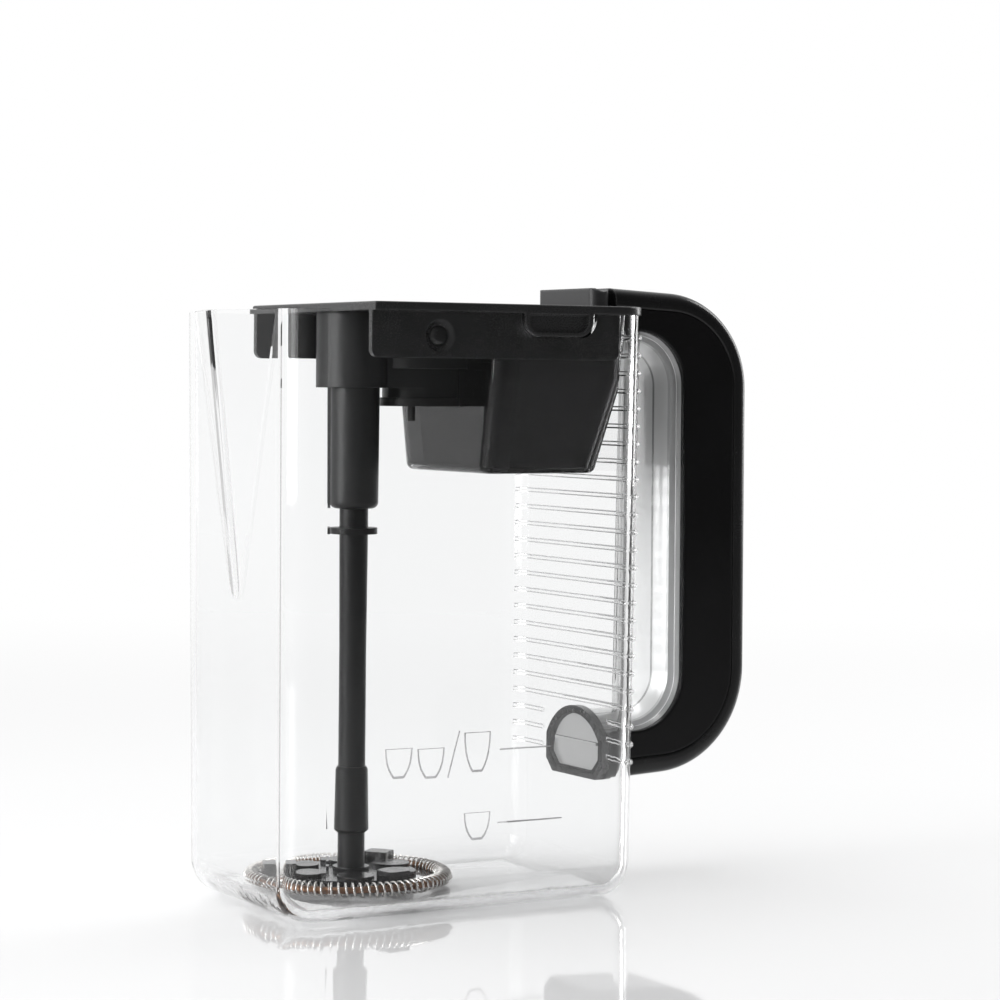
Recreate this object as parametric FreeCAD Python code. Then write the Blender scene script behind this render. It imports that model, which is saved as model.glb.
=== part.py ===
import FreeCAD, Part
import math
import os

# Clear drink-mixing carafe in millimetres. The origin is the middle of the jug's foot on the table,
# +X points to the handle, -X to the pouring beak and +Z up.
Vector = FreeCAD.Vector
UP = Vector(0, 0, 1)

# Limits within which two places, or two box sizes, count as the same when edges are picked
same_place = 0.01
same_size = 0.1

# Jug
jug_length = 123.0
jug_width = 84.0
jug_height = 180.0
jug_draft = 1.7
jug_wall = 2.6
jug_floor = 3.0
corner_radius = 11.5
foot_step = 1.0

# Pouring beak: two facets that meet in a leaning crest, round at the rim and narrow and flat at its foot
beak_reach = 9.1
beak_half_width = 29.0
beak_height = 88.0
beak_round = 5.0
beak_foot_half = 1.6
beak_foot_edge = 1.0

# Rib beads across the end wall at the handle, and some way round its corners
rib_count = 25
rib_first = 41.5
rib_drop = 7.0
rib_radius = 0.8
rib_wrap = 38.0

# Handle loop, seen from the side
handle_width = 34.0
handle_stand = 53.3
handle_rise = 8.0
handle_bottom = 34.4
top_bend = 30.5
bottom_bend = 33.0
arm_slope = 3.0
strap_depth = 6.0
strap_round = 4.0
seam_round = 0.6
flank_wall = 2.0
grip_stand = 28.1
grip_drop = 4.5
grip_bottom = 48.5
grip_bend = 17.5
head_gap = 1.9
collar_depth = 2.6
collar_wall = 2.4
core_wall = 2.4
core_crown = 6.0
core_leg = 3.0
core_gap = 0.1
groove_width = 1.6
groove_depth = 1.2
groove_border = 1.3
handle_root = 10.4
least_edge = 1.0

# Lid
lid_thickness = 2.6
lid_edge = 0.65
lid_lip = 3.2
lid_overhang = 0.5
skirt_depth = 14.0
skirt_wall = 2.0
skirt_gap = 0.45
tab_length = 24.0
tab_setback = 34.0
tab_depth = 7.0
tab_gap = 1.2
tab_round = 5.0
notch_cut = 7.8
scoop_border = 1.6
scoop_depth = 1.3
scoop_sink = 0.4
stud_setback = 22.8
stud_drop = 7.4
stud_radius = 3.15
dome_ratio = 1.2
dish_radius = 4.95
dish_depth = 1.2
dish_margin = 0.4
thumb_length = 6.9
thumb_height = 6.4
thumb_lip = 1.9
thumb_dip = 1.1
thumb_gap = 2.0
thumb_round = 2.4

# Spindle and whisk shaft
spindle_radius = 2.5
spindle_shoulder = 1.2
running_gap = 0.04
seat_gap = 0.02
end_play = 0.16
shaft_radius = 4.4
shaft_waist = 4.15
shaft_insert = 19.0
socket_depth = 11.5
stop_drop = 7.8
stop_thickness = 1.9
stop_radius = 7.25
ferrule_rise = 13.6
ferrule_length = 20.2
ferrule_radius = 5.3
ferrule_taper = 0.35
ferrule_chamfer = 0.9

# Whisk head
whisk_side_gap = 6.55
whisk_front_gap = 5.05
whisk_lift = 1.3
ring_wire = 1.4
coil_radius = 2.5
coil_wire = 0.35
coil_turns = 83
joint_angle = -85.0
clamp_count = 3
clamp_depth = 5.15
clamp_root = 1.8
clamp_start = 160.0
hub_thickness = 3.4
lobe_radius = 5.6
lobe_inset = 4.6
lobe_spread = 31.0
lobe_height = 1.2
clamp_width = 7.6
clamp_height = 3.0
clamp_gap = 0.3
hub_boss_radius = 5.6
hub_boss_height = 1.6

# Sleeve, bushes and boss
sleeve_length = 37.0
sleeve_radius = 7.65
sleeve_taper = 0.2
sleeve_bore = 4.75
sleeve_round = 2.0
sleeve_slot = 2.6
slot_depth = 1.0
slot_start = 12.0
spigot_radius = 6.4
spigot_height = 7.6
bush_length = 6.0
bush_gap = 1.8
boss_radius = 11.3
boss_drop = 6.0

# Gear train
gear_module = 1.0
gear_width = 6.0
gear_lift = 1.5
tooth_fill = 0.8
root_depth = 1.25
root_share = 1.5
tip_share = 0.45
spindle_teeth = 16
idler_teeth = 24
output_teeth = 28
idler_pin_radius = 2.0
output_pin_radius = 2.5
case_wall = 1.8
case_floor = 2.0
case_depth = 17.0
case_gap = 0.4
cup_radius = 9.4
cup_depth = 11.6
cup_flange = 1.2
cup_flange_height = 2.6
peg_radius = 1.2
peg_length = 4.5
peg_angle = -120.0

# Tub and capsule
tub_setback = 11.0
tub_rear_gap = 1.9
tub_side_gap = 0.45
tub_draft = 8.5
tub_depth = 49.0
tub_straight = 20.0
tub_slant = 6.5
tub_wall = 2.0
tub_round = 6.0
tub_edge = 2.5
tub_notch = 14.0
tub_notch_depth = 8.0
shoulder_share = 0.35
capsule_setback = 8.5
capsule_gap = 0.4
capsule_boss = 6.0

# Places worked out from the sizes above: jug and handle
half_length = jug_length / 2
half_width = jug_width / 2
foot_radius = corner_radius - foot_step
rib_pitch = (jug_height - rib_drop - rib_first) / (rib_count - 1)
handle_reach = half_length + handle_stand
handle_top = jug_height + handle_rise
grip_reach = half_length + grip_stand
grip_top = jug_height - grip_drop
trough_over = grip_bend / 2

# Whisk head, from the inside of the jug's walls and floor
coil_reach = coil_radius + coil_wire
ring_radius = half_width - jug_wall - jug_draft - whisk_side_gap - coil_reach
ring_height = jug_floor + whisk_lift + coil_reach
whisk_x = ring_radius + coil_reach + whisk_front_gap + jug_draft + jug_wall - half_length
hub_low = ring_height - hub_thickness / 2
hub_high = ring_height + hub_thickness / 2
clamp_outer = ring_radius - coil_reach - clamp_gap
hub_radius = clamp_outer - clamp_depth
lobe_orbit = hub_radius - lobe_inset
ferrule_low = ring_height + ferrule_rise
ferrule_high = ferrule_low + ferrule_length

# Lid, from the rim down and from the whisk back
lid_top = jug_height + lid_thickness
thumb_edge = thumb_lip / 3
lid_front = whisk_x - boss_radius - lid_lip
skirt_face = half_width - jug_wall - skirt_gap
skirt_low = jug_height - skirt_depth
tab_centre = half_length - tab_setback
stud_place = lid_front + stud_setback
case_low = jug_height - case_depth
gear_low = case_low + case_floor + gear_lift
gear_high = gear_low + gear_width
idler_x = whisk_x + gear_module * (spindle_teeth + idler_teeth) / 2
output_x = idler_x + gear_module * (idler_teeth + output_teeth) / 2
cup_low = case_low - cup_depth
sleeve_high = case_low - boss_drop
sleeve_low = sleeve_high - sleeve_length
slot_low = sleeve_low + slot_start
shaft_top = sleeve_low + shaft_insert
stop_height = sleeve_low - stop_drop
tub_front = idler_x + tub_setback
tub_rear = half_length - jug_wall - tub_rear_gap
tub_foot_rear = tub_rear - tub_slant
tub_half_width = skirt_face - skirt_wall - tub_side_gap
tub_low = jug_height - tub_depth
tub_shoulder = jug_height - tub_straight
capsule_front = tub_front + capsule_setback
capsule_top = gear_low - capsule_gap


def wall_inset(z):
    """How far the drafted jug wall stands in from the rim at height z."""
    return jug_draft * (jug_height - z) / jug_height


def rounded_rectangle(x_low, x_high, half_y, z, radius):
    """Closed wire of a rectangle with round corners, flat at height z."""
    y_low = -half_y
    y_high = half_y
    diagonal = radius * (1 - math.sqrt(0.5))
    edges = []
    corners = [(x_high, y_low, -1, 1), (x_high, y_high, -1, -1), (x_low, y_high, 1, -1), (x_low, y_low, 1, 1)]
    ends = []
    for index, (x, y, sx, sy) in enumerate(corners):
        along_x = Vector(x + sx * radius, y, z)
        along_y = Vector(x, y + sy * radius, z)
        middle = Vector(x + sx * diagonal, y + sy * diagonal, z)
        first, last = (along_x, along_y) if index % 2 == 0 else (along_y, along_x)
        edges.append(Part.Arc(first, middle, last).toShape())
        ends.append((first, last))
    for index in range(4):
        edges.append(Part.LineSegment(ends[index][1], ends[(index + 1) % 4][0]).toShape())
    return Part.Wire(Part.__sortEdges__(edges))


def ruled_loft(wires):
    """Closed solid through the wires with straight sides."""
    return Part.makeLoft(wires, True, True)


def box(x_low, x_high, y_low, y_high, z_low, z_high):
    """Box between two corners."""
    return Part.makeBox(x_high - x_low, y_high - y_low, z_high - z_low, Vector(x_low, y_low, z_low))


def rod(x, y, z_low, z_high, radius):
    """Upright cylinder."""
    return Part.makeCylinder(radius, z_high - z_low, Vector(x, y, z_low))


def turned(profile, x, y):
    """Solid of revolution about the upright line through x, y. The profile is (radius, height) points."""
    points = [Vector(x + radius, y, height) for radius, height in profile]
    face = Part.Face(Part.makePolygon(points + points[:1]))
    return face.revolve(Vector(x, y, 0), UP, 360)


def edges_where(shape, test):
    """The edges of a shape whose middle point passes a test."""
    found = []
    for edge in shape.Edges:
        low, high = edge.ParameterRange
        if test(edge.valueAt((low + high) / 2), edge):
            found.append(edge)
    return found


def side_prism(points, half_y):
    """Prism of a closed outline in the XZ plane, from -half_y to half_y."""
    corners = [Vector(x, -half_y, z) for x, z in points]
    face = Part.Face(Part.makePolygon(corners + corners[:1]))
    return face.extrude(Vector(0, 2 * half_y, 0))


def save(node, shape):
    """Write one piece as a STEP file named after it."""
    shape.exportStep(os.path.join("parts", node + ".step"))
    print(node, "solids", len(shape.Solids), "valid", shape.isValid(), "volume %.1f" % shape.Volume)


def jug_block():
    """The jug's outside as a full block, without beak, beads, notches or hollow."""
    foot = rounded_rectangle(-half_length + jug_draft, half_length - jug_draft,
                             half_width - jug_draft, 0, corner_radius)
    rim = rounded_rectangle(-half_length, half_length, half_width, jug_height, corner_radius)
    block = ruled_loft([foot, rim])
    foot_edges = edges_where(block, lambda middle, edge: abs(middle.z) < same_place)
    return block.makeFillet(foot_radius, foot_edges)


def beak_wedge(inset):
    """Wedge of the beak behind its facets, moved in by inset: it fades from the rim into the flat wall."""
    slope = beak_reach / beak_half_width
    bend = math.atan(slope)
    root = -half_length + inset
    tip = -half_length - beak_reach + inset / math.cos(bend)
    width = (root - tip) / slope
    radius = beak_round + inset
    touch = radius * math.sin(bend)
    crest = tip + radius / math.cos(bend) - radius
    foot_z = jug_height - beak_height * (root - tip) / beak_reach
    foot_x = root + wall_inset(foot_z)

    def outline(z, x, half, front_x, front_y, front):
        turn = [Vector(front_x, front_y, z), Vector(front_x, -front_y, z)]
        wall = [Vector(x, -half, z), Vector(x, half, z)]
        back = [Vector(x + corner_radius, -half, z), Vector(x + corner_radius, half, z)]
        lines = [(wall[1], turn[0]), (turn[1], wall[0]), (wall[0], back[0]), (back[0], back[1]),
                 (back[1], wall[1])]
        sides = [Part.LineSegment(first, last).toShape() for first, last in lines]
        return Part.Wire([sides[0], front(turn)] + sides[1:])

    def flat(turn):
        return Part.LineSegment(turn[0], turn[1]).toShape()

    def rounded(turn):
        return Part.Arc(turn[0], Vector(crest, 0, jug_height), turn[1]).toShape()

    foot_half = beak_foot_half + beak_foot_edge
    foot = outline(foot_z, foot_x, foot_half, foot_x, beak_foot_half, flat)
    rim = outline(jug_height, root, width, tip + touch * slope, touch, rounded)
    return Part.makeLoft([foot, rim], True, True)


def rim_notch(side, gap, depth, y_low, y_high):
    """Prism of a finger tab's outline on one long side, widened by gap, open at the top."""
    half = tab_length / 2 + gap
    low = jug_height - depth
    radius = tab_round + gap
    prism = box(tab_centre - half, tab_centre + half, y_low, y_high, low, jug_height)
    bottom = edges_where(prism, lambda middle, edge: abs(middle.z - low) < same_place
                         and abs(abs(middle.x - tab_centre) - half) < same_place)
    prism = prism.makeFillet(radius, bottom)
    if side < 0:
        prism = prism.mirror(Vector(0, 0, 0), Vector(0, 1, 0))
    return prism


def make_jug():
    """The clear jug: drafted shell with beak, rib beads and two rim notches."""
    inner_corner = corner_radius - jug_wall
    inset = jug_wall + wall_inset(jug_floor)
    floor = rounded_rectangle(-half_length + inset, half_length - inset, half_width - inset,
                              jug_floor, inner_corner)
    mouth = rounded_rectangle(-half_length + jug_wall, half_length - jug_wall, half_width - jug_wall,
                              jug_height, inner_corner)
    hollow = ruled_loft([floor, mouth])
    floor_edges = edges_where(hollow, lambda middle, edge: abs(middle.z - jug_floor) < same_place)
    hollow = hollow.makeFillet(foot_radius - jug_wall, floor_edges)
    jug = jug_block().fuse(beak_wedge(0)).cut(hollow).cut(beak_wedge(jug_wall))
    beads = []
    for index in range(rib_count):
        z = rib_first + index * rib_pitch
        x = half_length - wall_inset(z)
        end_y = half_width - corner_radius - wall_inset(z)
        bead = Part.makeCylinder(rib_radius, 2 * end_y, Vector(x, -end_y, z), Vector(0, 1, 0))
        wrap = Part.makeTorus(corner_radius, rib_radius, Vector(x - corner_radius, end_y, z), Vector(0, 0, 1),
                              0, 360, rib_wrap)
        beads.append(bead.fuse([wrap, wrap.mirror(Vector(0, 0, 0), Vector(0, 1, 0))]))
    covered = handle_width / 2 + collar_wall
    free = Part.makeCompound(beads)
    free = free.cut(box(0, handle_reach, -covered, covered, 0, grip_bottom + core_crown + collar_wall))
    free = free.cut(box(0, handle_reach, -covered, covered, grip_top - core_crown - core_wall, handle_top))
    jug = jug.fuse(free.Solids)
    for side in (-1, 1):
        jug = jug.cut(rim_notch(side, tab_gap, tab_depth + tab_gap / 2,
                                half_width - notch_cut, half_width + jug_wall))
    return jug.removeSplitter()


def loop_edges(reach, top, bottom, bend_top, bend_bottom, slope, start):
    """Edges of a handle line from the wall round to the wall: arm, bend, upright, bend, arm."""
    angle = math.radians(slope)
    half = (math.pi / 2 - angle) / 2
    top_centre = Vector(reach - bend_top, 0, top - bend_top)
    low_centre = Vector(reach - bend_bottom, 0, bottom + bend_bottom)

    def on_bend(centre, radius, turn, sign):
        return centre + Vector(radius * math.sin(turn), 0, sign * radius * math.cos(turn))

    top_in = on_bend(top_centre, bend_top, angle, 1)
    top_mid = on_bend(top_centre, bend_top, angle + half, 1)
    top_out = on_bend(top_centre, bend_top, math.pi / 2, 1)
    low_in = on_bend(low_centre, bend_bottom, math.pi / 2, -1)
    low_mid = on_bend(low_centre, bend_bottom, angle + half, -1)
    low_out = on_bend(low_centre, bend_bottom, angle, -1)
    first = Vector(start, 0, top_in.z + (top_in.x - start) * math.tan(angle))
    last = Vector(start, 0, low_out.z - (low_out.x - start) * math.tan(angle))
    return [
        Part.LineSegment(first, top_in).toShape(),
        Part.Arc(top_in, top_mid, top_out).toShape(),
        Part.LineSegment(top_out, low_in).toShape(),
        Part.Arc(low_in, low_mid, low_out).toShape(),
        Part.LineSegment(low_out, last).toShape(),
    ]


def outer_line(depth, start):
    """A handle line parallel to the outer outline, depth inside it."""
    return loop_edges(handle_reach - depth, handle_top - depth, handle_bottom + depth,
                      top_bend - depth, bottom_bend - depth, arm_slope, start)


def grip_line(depth, start):
    """A handle line parallel to the finger side of the flanks, depth towards the strap."""
    return loop_edges(grip_reach + depth, grip_top + depth, grip_bottom - depth,
                      grip_bend + depth, grip_bend + depth, 0, start)


def band(outer, inner, half_y):
    """Solid between two handle lines, from -half_y to half_y."""
    closing = [
        Part.LineSegment(outer[0].firstVertex().Point, inner[0].firstVertex().Point).toShape(),
        Part.LineSegment(outer[-1].lastVertex().Point, inner[-1].lastVertex().Point).toShape(),
    ]
    wire = Part.Wire(Part.__sortEdges__(outer + inner + closing))
    face = Part.Face(wire)
    face.translate(Vector(0, -half_y, 0))
    return face.extrude(Vector(0, 2 * half_y, 0))


def end_wall(shift, z_low, z_high):
    """Everything on the jug's side of the drafted end wall, between two heights, moved out by shift."""
    low = half_length - wall_inset(z_low) + shift
    high = half_length - wall_inset(z_high) + shift
    return side_prism([(0, z_low), (low, z_low), (high, z_high), (0, z_high)], half_width)


def trim_to_wall(shape):
    """Cut a handle piece where it meets the end wall, the collar and the lid."""
    middle = (grip_top + grip_bottom) / 2
    head = box(0, half_length + head_gap, -half_width, half_width, jug_height, handle_top + handle_rise)
    shape = shape.cut(end_wall(collar_depth, 0, middle))
    return shape.cut(end_wall(0, middle, jug_height)).cut(head)


def make_strap(start):
    """The outer band of the handle, round along its two outer edges."""
    half_y = handle_width / 2
    strap = band(outer_line(0, start), outer_line(strap_depth, start), half_y)

    def on_line(line):
        lines = Part.Wire(line)

        def picked(middle, edge):
            near = lines.distToShape(Part.Vertex(middle.x, 0, middle.z))[0]
            return abs(abs(middle.y) - half_y) < same_place and edge.Length > least_edge and near < same_place

        return picked

    strap = strap.makeFillet(strap_round, edges_where(strap, on_line(outer_line(0, start))))
    strap = strap.makeFillet(seam_round, edges_where(strap, on_line(outer_line(strap_depth, start))))
    return trim_to_wall(strap)


def make_shell(start):
    """The two flanks of the handle and the web that joins them under the strap."""
    half_y = handle_width / 2
    seam = outer_line(strap_depth, start)
    shell = band(seam, grip_line(0, start), half_y)
    seam_wire = Part.Wire(seam)
    grip_wire = Part.Wire(grip_line(0, start))

    def long_edge(middle, edge):
        at = Part.Vertex(middle.x, 0, middle.z)
        on_flank = abs(abs(middle.y) - half_y) < same_place
        near = min(seam_wire.distToShape(at)[0], grip_wire.distToShape(at)[0])
        return on_flank and edge.Length > least_edge and near < same_place

    shell = shell.makeFillet(seam_round, edges_where(shell, long_edge))
    trough = band(outer_line(strap_depth + flank_wall, start), grip_line(-trough_over, start),
                  half_y - flank_wall)
    return trim_to_wall(shell.cut(trough))


def make_core(start):
    """The clear lining of the grip: an arched channel swept along the finger side."""
    half = handle_width / 2 - flank_wall - core_gap
    radius = (half ** 2 + core_crown ** 2) / (2 * core_crown)
    inner_radius = radius - core_wall
    drop = radius - core_crown
    inner_half = math.sqrt(inner_radius ** 2 - drop ** 2)
    groove_out = half - groove_border
    groove_in = groove_out - groove_width
    top = grip_top

    def at(y, inward):
        return Vector(start, y, top - inward)

    def arch(y):
        return at(y, math.sqrt(radius ** 2 - y ** 2) - drop)

    edges = []
    for side in (-1, 1):
        middle = (half + groove_out) / 2
        edges.append(Part.Arc(arch(side * half), arch(side * middle), arch(side * groove_out)).toShape())
        corners = [
            arch(side * groove_out), at(side * groove_out, -groove_depth), at(side * groove_in, -groove_depth),
            arch(side * groove_in),
        ]
        edges += [Part.LineSegment(first, last).toShape() for first, last in zip(corners, corners[1:])]
        foot = [
            arch(side * half), at(side * half, -core_leg), at(side * inner_half, -core_leg),
            at(side * inner_half, 0),
        ]
        edges += [Part.LineSegment(first, last).toShape() for first, last in zip(foot, foot[1:])]
    edges.append(Part.Arc(arch(-groove_in), arch(0), arch(groove_in)).toShape())
    edges.append(Part.Arc(at(inner_half, 0), at(0, core_crown - core_wall), at(-inner_half, 0)).toShape())
    section = Part.Wire(Part.__sortEdges__(edges))
    path = Part.Wire(grip_line(0, start))
    return trim_to_wall(path.makePipeShell([section], True, False))


def collar_outline(inset):
    """D outline of the lower arm at the wall, moved in by inset: flat below, arched above."""
    half = handle_width / 2 - inset
    slope = math.tan(math.radians(arm_slope))
    low = handle_bottom + inset - slope * (handle_stand - bottom_bend)
    spring = grip_bottom - core_leg
    crown = grip_bottom + core_crown - inset + collar_wall / 2
    round_off = strap_round
    edges = [
        Part.LineSegment(Vector(0, half, low + round_off), Vector(0, half, spring)).toShape(),
        Part.Arc(Vector(0, half, spring), Vector(0, 0, crown), Vector(0, -half, spring)).toShape(),
        Part.LineSegment(Vector(0, -half, spring), Vector(0, -half, low + round_off)).toShape(),
        Part.LineSegment(Vector(0, -half, low + round_off), Vector(0, -half + round_off, low)).toShape(),
        Part.LineSegment(Vector(0, -half + round_off, low), Vector(0, half - round_off, low)).toShape(),
        Part.LineSegment(Vector(0, half - round_off, low), Vector(0, half, low + round_off)).toShape(),
    ]
    return Part.Face(Part.Wire(Part.__sortEdges__(edges)))


def make_collar():
    """D-shaped collar between the lower arm and the ribbed wall."""
    ring = collar_outline(0).cut(collar_outline(collar_wall))
    start = half_length - jug_draft - jug_wall
    ring.translate(Vector(start, 0, 0))
    ring = ring.extrude(Vector(handle_stand, 0, 0))
    return ring.cut(end_wall(0, 0, grip_top)).common(end_wall(collar_depth, 0, grip_top))


def make_lid():
    """The lid plate with skirts inside the long walls and finger tabs that fill the rim notches."""
    rear = half_length + lid_overhang
    plate = box(lid_front, rear, -half_width, half_width, jug_height, lid_top)
    rear_edges = edges_where(plate, lambda middle, edge: abs(middle.x - rear) < same_place
                             and abs(abs(middle.y) - half_width) < same_place)
    plate = plate.makeFillet(corner_radius, rear_edges)
    top_edges = edges_where(plate, lambda middle, edge: abs(middle.z - lid_top) < same_place)
    lid = plate.makeFillet(lid_edge, top_edges)
    skirt_rear = half_length - corner_radius
    for side in (-1, 1):
        y_low, y_high = sorted((side * (skirt_face - skirt_wall), side * skirt_face))
        skirt = box(lid_front, skirt_rear, y_low, y_high, skirt_low, jug_height)
        corner = edges_where(skirt, lambda middle, edge: abs(middle.z - skirt_low) < same_place
                             and (abs(middle.x - lid_front) < same_place
                                  or abs(middle.x - skirt_rear) < same_place))
        lid = lid.fuse(skirt.makeFillet(thumb_round, corner))
        lid = lid.fuse(rim_notch(side, 0, tab_depth, skirt_face - skirt_wall / 2, half_width))
        scoop = rim_notch(side, -scoop_border, tab_depth - scoop_border,
                          half_width - scoop_depth, half_width + scoop_depth)
        scoop.translate(Vector(0, 0, -scoop_sink))
        lid = lid.cut(scoop)
        mouth = Vector(stud_place, side * skirt_face, jug_height - stud_drop)
        dish = Part.makeCone(dish_radius, stud_radius + dish_margin, dish_depth, mouth,
                             Vector(0, -side, 0))
        lid = lid.cut(dish)
    return lid.removeSplitter()


def make_studs():
    """Two domed studs, each on the floor of its dish."""
    studs = []
    dome = stud_radius * dome_ratio
    rise = dome - math.sqrt(dome ** 2 - stud_radius ** 2)
    for side in (-1, 1):
        floor = side * (skirt_face - dish_depth)
        centre = Vector(stud_place, floor - side * (dome - rise), jug_height - stud_drop)
        ball = Part.makeSphere(dome, centre)
        foot = Vector(stud_place, floor, jug_height - stud_drop)
        studs.append(ball.common(Part.makeCylinder(dome, dish_depth, foot, Vector(0, side, 0))))
    return Part.makeCompound(studs)


def make_thumb_rest():
    """Saddle on the lid's rear edge: a round lip in front, round shoulders and a hollow for the thumb."""
    rear = half_length + head_gap - thumb_gap
    front = rear - thumb_length
    top = lid_top + thumb_height
    half_y = handle_width / 2
    bow = thumb_edge * (1 - math.sqrt(0.5))

    def at(x, z):
        return Vector(x, -half_y, z)

    edges = [
        Part.LineSegment(at(front, lid_top), at(front, top - thumb_edge)).toShape(),
        Part.Arc(at(front, top - thumb_edge), at(front + bow, top - bow),
                 at(front + thumb_edge, top)).toShape(),
        Part.LineSegment(at(front + thumb_edge, top), at(front + thumb_lip, top)).toShape(),
        Part.Arc(at(front + thumb_lip, top), at((front + thumb_lip + rear) / 2, top - thumb_dip),
                 at(rear, top)).toShape(),
        Part.LineSegment(at(rear, top), at(rear, lid_top)).toShape(),
        Part.LineSegment(at(rear, lid_top), at(front, lid_top)).toShape(),
    ]
    saddle = Part.Face(Part.Wire(edges)).extrude(Vector(0, handle_width, 0))
    plan = Part.Face(rounded_rectangle(front, rear, half_y, lid_top, thumb_round))
    ends = box(front, rear, -half_y, half_y, lid_top, top)
    shoulders = edges_where(ends, lambda middle, edge: abs(middle.z - top) < same_place
                            and abs(abs(middle.y) - half_y) < same_place)
    ends = ends.makeFillet(thumb_lip, shoulders)
    return saddle.common(plan.extrude(Vector(0, 0, thumb_height))).common(ends)


def tub_form(inset, low):
    """The tub's outside moved in by inset: upright to its shoulder, then a slanted rear wall."""
    levels = ((jug_height, 0.0, tub_rear), (tub_shoulder, shoulder_share, tub_rear),
              (low, 1.0, tub_foot_rear))
    wires = []
    for z, share, rear in levels:
        half = tub_half_width - tub_draft * share - inset
        wires.append(rounded_rectangle(tub_front + inset, rear - inset, half, z, tub_round - inset))
    return ruled_loft([wires[2], wires[1]]).fuse(ruled_loft([wires[1], wires[0]])).removeSplitter()


def make_tub():
    """Smoked tub under the lid's rear half, open at the top, notched for the gears."""
    outside = tub_form(0, tub_low)
    foot = edges_where(outside, lambda middle, edge: abs(middle.z - tub_low) < same_place)
    outside = outside.makeFillet(tub_edge, foot)
    inside = tub_form(tub_wall, tub_low + tub_wall)
    notch = box(tub_front - tub_wall, tub_front + tub_notch_depth, -tub_notch, tub_notch,
                case_low + case_floor, jug_height)
    return outside.cut(inside).cut(notch)


def make_capsule():
    """Closed drive block that fills the tub behind its clear front, with the output gear's pin."""
    form = tub_form(tub_wall + capsule_gap, tub_low + tub_wall)
    behind = box(capsule_front, jug_length, -half_width, half_width, 0, capsule_top)
    block = form.common(behind)
    boss = rod(output_x, 0, case_low, gear_low - end_play, capsule_boss)
    pin = rod(output_x, 0, case_low, gear_high + gear_lift, output_pin_radius)
    return block.fuse(boss).fuse(pin).removeSplitter()


def case_plan(wall, end):
    """Plan of the gear case as a solid one unit deep: boss circle, idler circle and the neck to the tub."""
    boss = boss_radius - wall
    cup = gear_module * (idler_teeth / 2 + 1) + case_gap + case_wall - wall
    flat = rod(whisk_x, 0, 0, 1, boss)
    flat = flat.fuse(rod(idler_x, 0, 0, 1, cup))
    flat = flat.fuse(box(whisk_x, idler_x, wall - cup_radius, cup_radius - wall, 0, 1))
    flat = flat.fuse(box(idler_x, end, -cup, cup, 0, 1))
    return flat.removeSplitter()


def raised(plan, z_low, z_high):
    """Stretch a plan one unit deep between two heights."""
    bottom = [face for face in plan.Faces if abs(face.CenterOfMass.z) < 0.001]
    solid = bottom[0].extrude(Vector(0, 0, z_high - z_low))
    solid.translate(Vector(0, 0, z_low))
    return solid


def make_case():
    """Gear case under the lid: tray for the gears, boss for the sleeve, cup and peg under the idler."""
    reach = half_length
    tray = raised(case_plan(0, reach), case_low, jug_height)
    pocket = raised(case_plan(case_wall, reach), case_low + case_floor, jug_height)
    case = tray.cut(pocket)
    case = case.fuse(rod(whisk_x, 0, sleeve_high, case_low, boss_radius))
    case = case.fuse(rod(idler_x, 0, cup_low, case_low, cup_radius))
    case = case.fuse(box(idler_x, reach, -cup_radius, cup_radius, cup_low, case_low))
    case = case.fuse(rod(idler_x, 0, cup_low, cup_low + cup_flange_height, cup_radius + cup_flange))
    case = case.fuse(box(idler_x, reach, -cup_radius - cup_flange, cup_radius + cup_flange,
                         cup_low, cup_low + cup_flange_height))
    case = case.fuse(box(whisk_x, idler_x, -cup_radius, cup_radius, sleeve_high, case_low))
    case = case.cut(box(tub_front, 2 * reach, -half_width, half_width, 0, jug_height))
    turn = math.radians(peg_angle)
    peg_orbit = cup_radius - peg_radius
    peg_x = idler_x + peg_orbit * math.cos(turn)
    peg_y = peg_orbit * math.sin(turn)
    case = case.fuse(rod(peg_x, peg_y, cup_low - peg_length, cup_low, peg_radius))
    case = case.fuse(rod(idler_x, 0, case_low, gear_low - end_play, idler_pin_radius * 2))
    case = case.cut(rod(whisk_x, 0, sleeve_high, case_low + case_floor, spigot_radius + seat_gap))
    case = case.cut(rod(idler_x, 0, case_low - case_floor, gear_low, idler_pin_radius + seat_gap))
    return case.removeSplitter()


def make_sleeve():
    """Tube round the top of the whisk shaft, with a spigot in the boss and a slot down its handle side."""
    foot = sleeve_radius - sleeve_taper
    profile = [
        (sleeve_bore, sleeve_low), (foot, sleeve_low), (sleeve_radius, sleeve_high),
        (spigot_radius, sleeve_high), (spigot_radius, sleeve_high + spigot_height),
        (sleeve_bore, sleeve_high + spigot_height),
    ]
    tube = turned(profile, whisk_x, 0)
    rim = edges_where(tube, lambda middle, edge: abs(middle.z - sleeve_low) < same_place
                      and abs(edge.BoundBox.XLength - 2 * foot) < same_size)
    tube = tube.makeFillet(sleeve_round, rim)
    slot = box(whisk_x + sleeve_radius - slot_depth, whisk_x + 2 * sleeve_radius,
               -sleeve_slot / 2, sleeve_slot / 2, slot_low, sleeve_high)
    return tube.cut(slot)


def make_bush(z_low):
    """Bearing bush between the sleeve and the spindle."""
    inner = spindle_radius + running_gap
    outer = sleeve_bore - seat_gap
    profile = [(inner, z_low), (outer, z_low), (outer, z_low + bush_length), (inner, z_low + bush_length)]
    return turned(profile, whisk_x, 0)


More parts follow.
